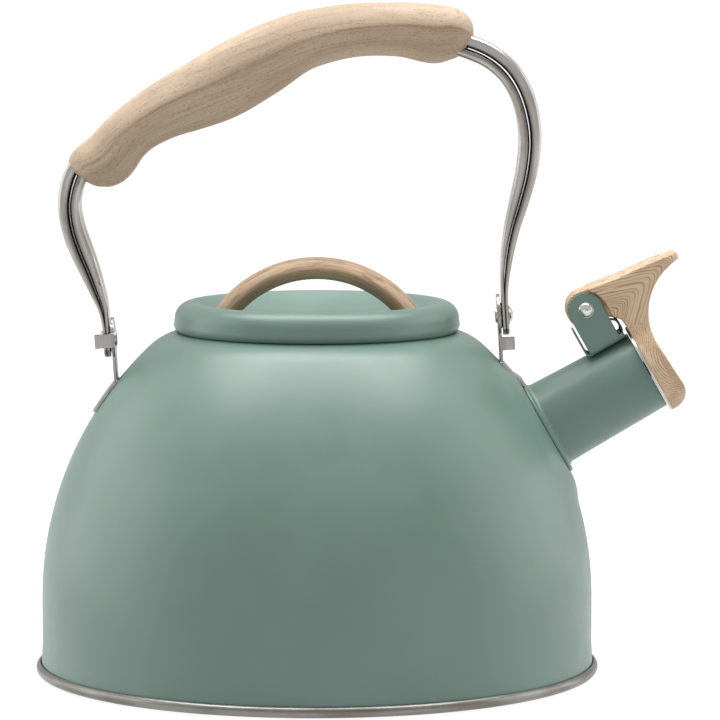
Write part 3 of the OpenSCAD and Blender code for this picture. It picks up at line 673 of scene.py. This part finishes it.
def crowned(upper, lower, n=24, ridge_passes=4):
    """Unit section in (y, z): a crown over a flatter underside, meeting in a soft ridge at the sides."""
    def quarter(off, sign):
        start = math.asin(off / (1 + off))
        wide = 1 / math.cos(start)
        return [(wide * math.cos(a), sign * ((1 + off) * math.sin(a) - off))
                for a in np.linspace(start, math.pi / 2, n)]
    top, bottom = quarter(upper, 1), quarter(lower, -1)
    right = top[::-1] + bottom[1:]
    left = [(-y, z) for y, z in right[::-1][1:-1]]
    ring = np.array(right + left)
    for _ in range(ridge_passes):
        ring = (np.roll(ring, 1, 0) + 2 * ring + np.roll(ring, -1, 0)) / 4
    return ring / np.abs(ring).max(axis=0)


def make_grip(wood_mat):
    """Rings along the grip's line. The ridge between crown and underside climbs to the right."""
    path = spline(grip_line, 10)
    section = crowned(0.25, 0.5, 30, 2)
    lengths = np.concatenate([[0], np.cumsum(np.linalg.norm(np.diff(path[:, :2], axis=0), axis=1))])
    total = lengths[-1]
    cap = END_ROUND * (1 - np.cos(np.linspace(0, math.pi / 2, 18)))
    stations = np.concatenate([cap, np.linspace(END_ROUND, total - END_ROUND, 110)[1:-1],
                               total - cap[::-1]])
    rings, coords = [], []
    for d in stations:
        x, z, half = (np.interp(d, lengths, path[:, k]) for k in range(3))
        d0, d1 = max(0, d - 5), min(total, d + 5)
        h = np.array([np.interp(d1, lengths, path[:, k]) - np.interp(d0, lengths, path[:, k])
                      for k in range(2)])
        h /= np.linalg.norm(h)
        near = min(d, total - d)
        e = 1.0
        if near < END_ROUND:
            e = max(0.04, (1 - (1 - near / END_ROUND) ** END_POWER)) ** (1 / END_POWER)
        ridge = np.interp(d / total, [0, 0.3, 0.65, 1], [-0.22, -0.2, 0.02, 0.34])
        ring = []
        for a, b in section:
            up = (ridge + b * (1 - math.copysign(ridge, b))) * half * e * 0.999
            ring.append((x - h[1] * up, a * GRIP_HALF_W * e, z + h[0] * up))
            coords.append((d, a * GRIP_HALF_W * e, up, math.exp(-(b / 0.045) ** 2)))
        rings.append(ring)
    points, faces = skin(rings)
    look = lambda own: np.array(nearest_coords(own, points, coords))
    fields = {"grain": lambda own: look(own)[:, :3], "seam": lambda own: look(own)[:, 3],
              "rings": lambda own: (lambda c: np.hypot(c[:, 1] - 3, c[:, 2] + 15) * 0.9)(look(own))}
    add_piece("grip_wood", (points, faces), "bail", wood_mat, "grip", fields,
              crease=60)


def make_lugs(metal):
    for side in ("left", "right"):
        mesh = softened(f"lug_{side}", 0.2, 3)
        place_piece(f"lug_plate_{side}", mesh, "kettle", metal, f"lug_{side}",
                    {"grain": lambda p: np.column_stack([p[:, 2], p[:, 1], p[:, 0]])})


def make_bail_rivets(metal):
    """Each rivet runs from its head outside the arm to its tail inside the lug."""
    head = rivet_head(3.9, 1.8, 0)
    reach = ARM_T + 0.1
    tail = ARM_T + WASHER_T + LUG_T
    outline = ([(r, z + reach) for r, z in head[::-1][:-1]] + [(2.5, reach), (2.5, 0.2 - tail)]
               + [(2.8, -tail), (2.8, -tail - 0.5), (2.3, -tail - 0.8), (0, -tail - 0.88)])
    for name, at, turn in (("left", PIVOT_L, -math.pi / 2), ("right", PIVOT_R, math.pi / 2)):
        place = (Matrix.Translation((at[0], 0, at[1])) @ Matrix.Rotation(-SLOPE, 4, "Y")
                 @ Matrix.Rotation(turn, 4, "Y"))
        add_piece(f"pivot_rivet_{name}", turned(outline, 48), "kettle", metal,
                  f"bail_rivet_{name}", place=place)


# ---- lid ----

LID_R, LID_TOP, LID_ROUND = 55.4, 145.3, 6.5
CREST_R = LID_R - LID_ROUND
DISH_SLOPE, DISH_ROUND = math.radians(27), 4.0
edge_r = CREST_R - DISH_ROUND * math.sin(DISH_SLOPE)
DISH_R = edge_r / math.sin(DISH_SLOPE)
DISH_Z = LID_TOP - DISH_ROUND * (1 - math.cos(DISH_SLOPE)) + DISH_R * math.cos(DISH_SLOPE)
ARCH_IN, ARCH_OUT, ARCH_HALF_W, ARCH_TOP = 40.4, 49.0, 8.5, 162.5


def lid_side(t):
    """The lid's outline t inside its top face: hem, rim, and a dish that is part of a sphere."""
    slope = math.degrees(DISH_SLOPE)
    return (arc((51.9, 136.7), 3.8 - t, -48, 0, 10)
            + arc((CREST_R, LID_TOP - LID_ROUND), LID_ROUND - t, 0, 90, 20)
            + arc((CREST_R, LID_TOP - DISH_ROUND), DISH_ROUND - t, 90, 90 + slope, 10)
            + arc((0, DISH_Z), DISH_R + t, slope - 90, -89.9, 36)[1:] + [(0, DISH_Z - DISH_R - t)])


def make_lid(paint_mat):
    outline = lid_side(0) + lid_side(SHEET)[::-1]
    add_piece("lid_cover", turned(outline, 224), "lid", paint_mat, "lid_shell")


def foot_angle(rho, y, centre):
    """How far up its circle, of radius rho, a line of the arch meets the dish."""
    low, high = 0.2, 1.2
    for _ in range(30):
        a = (low + high) / 2
        dish = DISH_Z - math.sqrt(DISH_R ** 2 - (rho * math.cos(a)) ** 2 - y * y)
        low, high = (low, a) if centre + rho * math.sin(a) > dish else (a, high)
    return high


def make_lid_handle(wood_mat):
    """A bent arch, crowned above and flatter below, with feet that follow the dish."""
    mid, half, centre = (ARCH_IN + ARCH_OUT) / 2, (ARCH_OUT - ARCH_IN) / 2, ARCH_TOP - ARCH_OUT
    lines = [(mid + b * half, a * ARCH_HALF_W) for a, b in crowned(0.5, 0.7, 14, 3)]
    feet = [foot_angle(rho, y, centre) for rho, y in lines]
    rings, coords = [], []
    for t in np.linspace(0, 1, 111):
        ring = []
        for (rho, y), foot in zip(lines, feet):
            a = math.pi - foot - t * (math.pi - 2 * foot)
            ring.append((rho * math.cos(a), y, centre + rho * math.sin(a)))
            coords.append((-mid * a, y, rho))
        rings.append(ring)
    points, faces = skin(rings)
    look = lambda own: np.array(nearest_coords(own, points, coords))
    fields = {"grain": look,
              "rings": lambda own: (lambda c: np.hypot(c[:, 1] - 2, c[:, 2] - 35) * 1.1)(look(own))}
    add_piece("lid_arch", (points, faces), "lid", wood_mat, "lid_handle", fields,
              crease=50)


# ---- what stays as the CAD has it ----

def finish_cad_nodes(metal, bare, dark, plate):
    looks = {"base_core": bare, "lid_skirt": metal, "lid_screws": metal, "lid_washers": metal,
             "bail_washers": dark, "whistle_plate": plate, "whistle_cup": plate,
             "whistle_screws": metal}
    for node, material in looks.items():
        for slot in frame["nodes"][node].material_slots:
            slot.material = material


make_camera()
make_studio()

sage = paint()
grip_oak = wood("grip_oak", srgb(178, 158, 136), srgb(158, 138, 117), 0.2, 0.5, 0.9)
arch_oak = wood("arch_oak", srgb(190, 166, 138), srgb(164, 138, 112), 0.6, 0.55, 0.22)
lever_oak = wood("lever_oak", srgb(200, 176, 147), srgb(181, 154, 125), 0.8, 0.3, 0.3)
# the arms get painted shade beside their groove
arm_steel = steel("arm_steel", "grain", srgb(190, 188, 184), srgb(164, 158, 150), 0.28, groove_shade=True)
lug_steel = steel("lug_steel", "grain", srgb(172, 171, 168), srgb(150, 146, 140), 0.3)
ring_steel = steel("ring_steel", "grain", srgb(138, 138, 134), srgb(116, 112, 106), 0.34)
cap_steel = steel("cap_steel", "grain", srgb(196, 194, 190), srgb(184, 180, 174), 0.34)
bright_steel = steel("bright_steel", None, srgb(214, 212, 208), srgb(200, 196, 190), 0.22)
plate_steel = steel("plate_steel", None, srgb(206, 204, 200), srgb(198, 195, 190), 0.3, 0.0)
inside_steel = steel("inside_steel", None, srgb(190, 188, 184), srgb(176, 172, 166), 0.4)
washer_steel = steel("washer_steel", None, srgb(92, 90, 88), srgb(74, 72, 70), 0.4)
plain_aluminium = steel("plain_aluminium", None, srgb(205, 206, 208), srgb(196, 197, 199), 0.45)

make_body(sage, inside_steel)
make_base(ring_steel, cap_steel)
make_spout(sage)
make_bracket(sage)
make_lever_pin(bright_steel)
make_lever_spring(washer_steel)
make_lever(lever_oak)
make_arms(arm_steel)
make_grip(grip_oak)
make_lugs(lug_steel)
make_bail_rivets(bright_steel)
make_lid(sage)
make_lid_handle(arch_oak)
finish_cad_nodes(bright_steel, plain_aluminium, washer_steel, plate_steel)
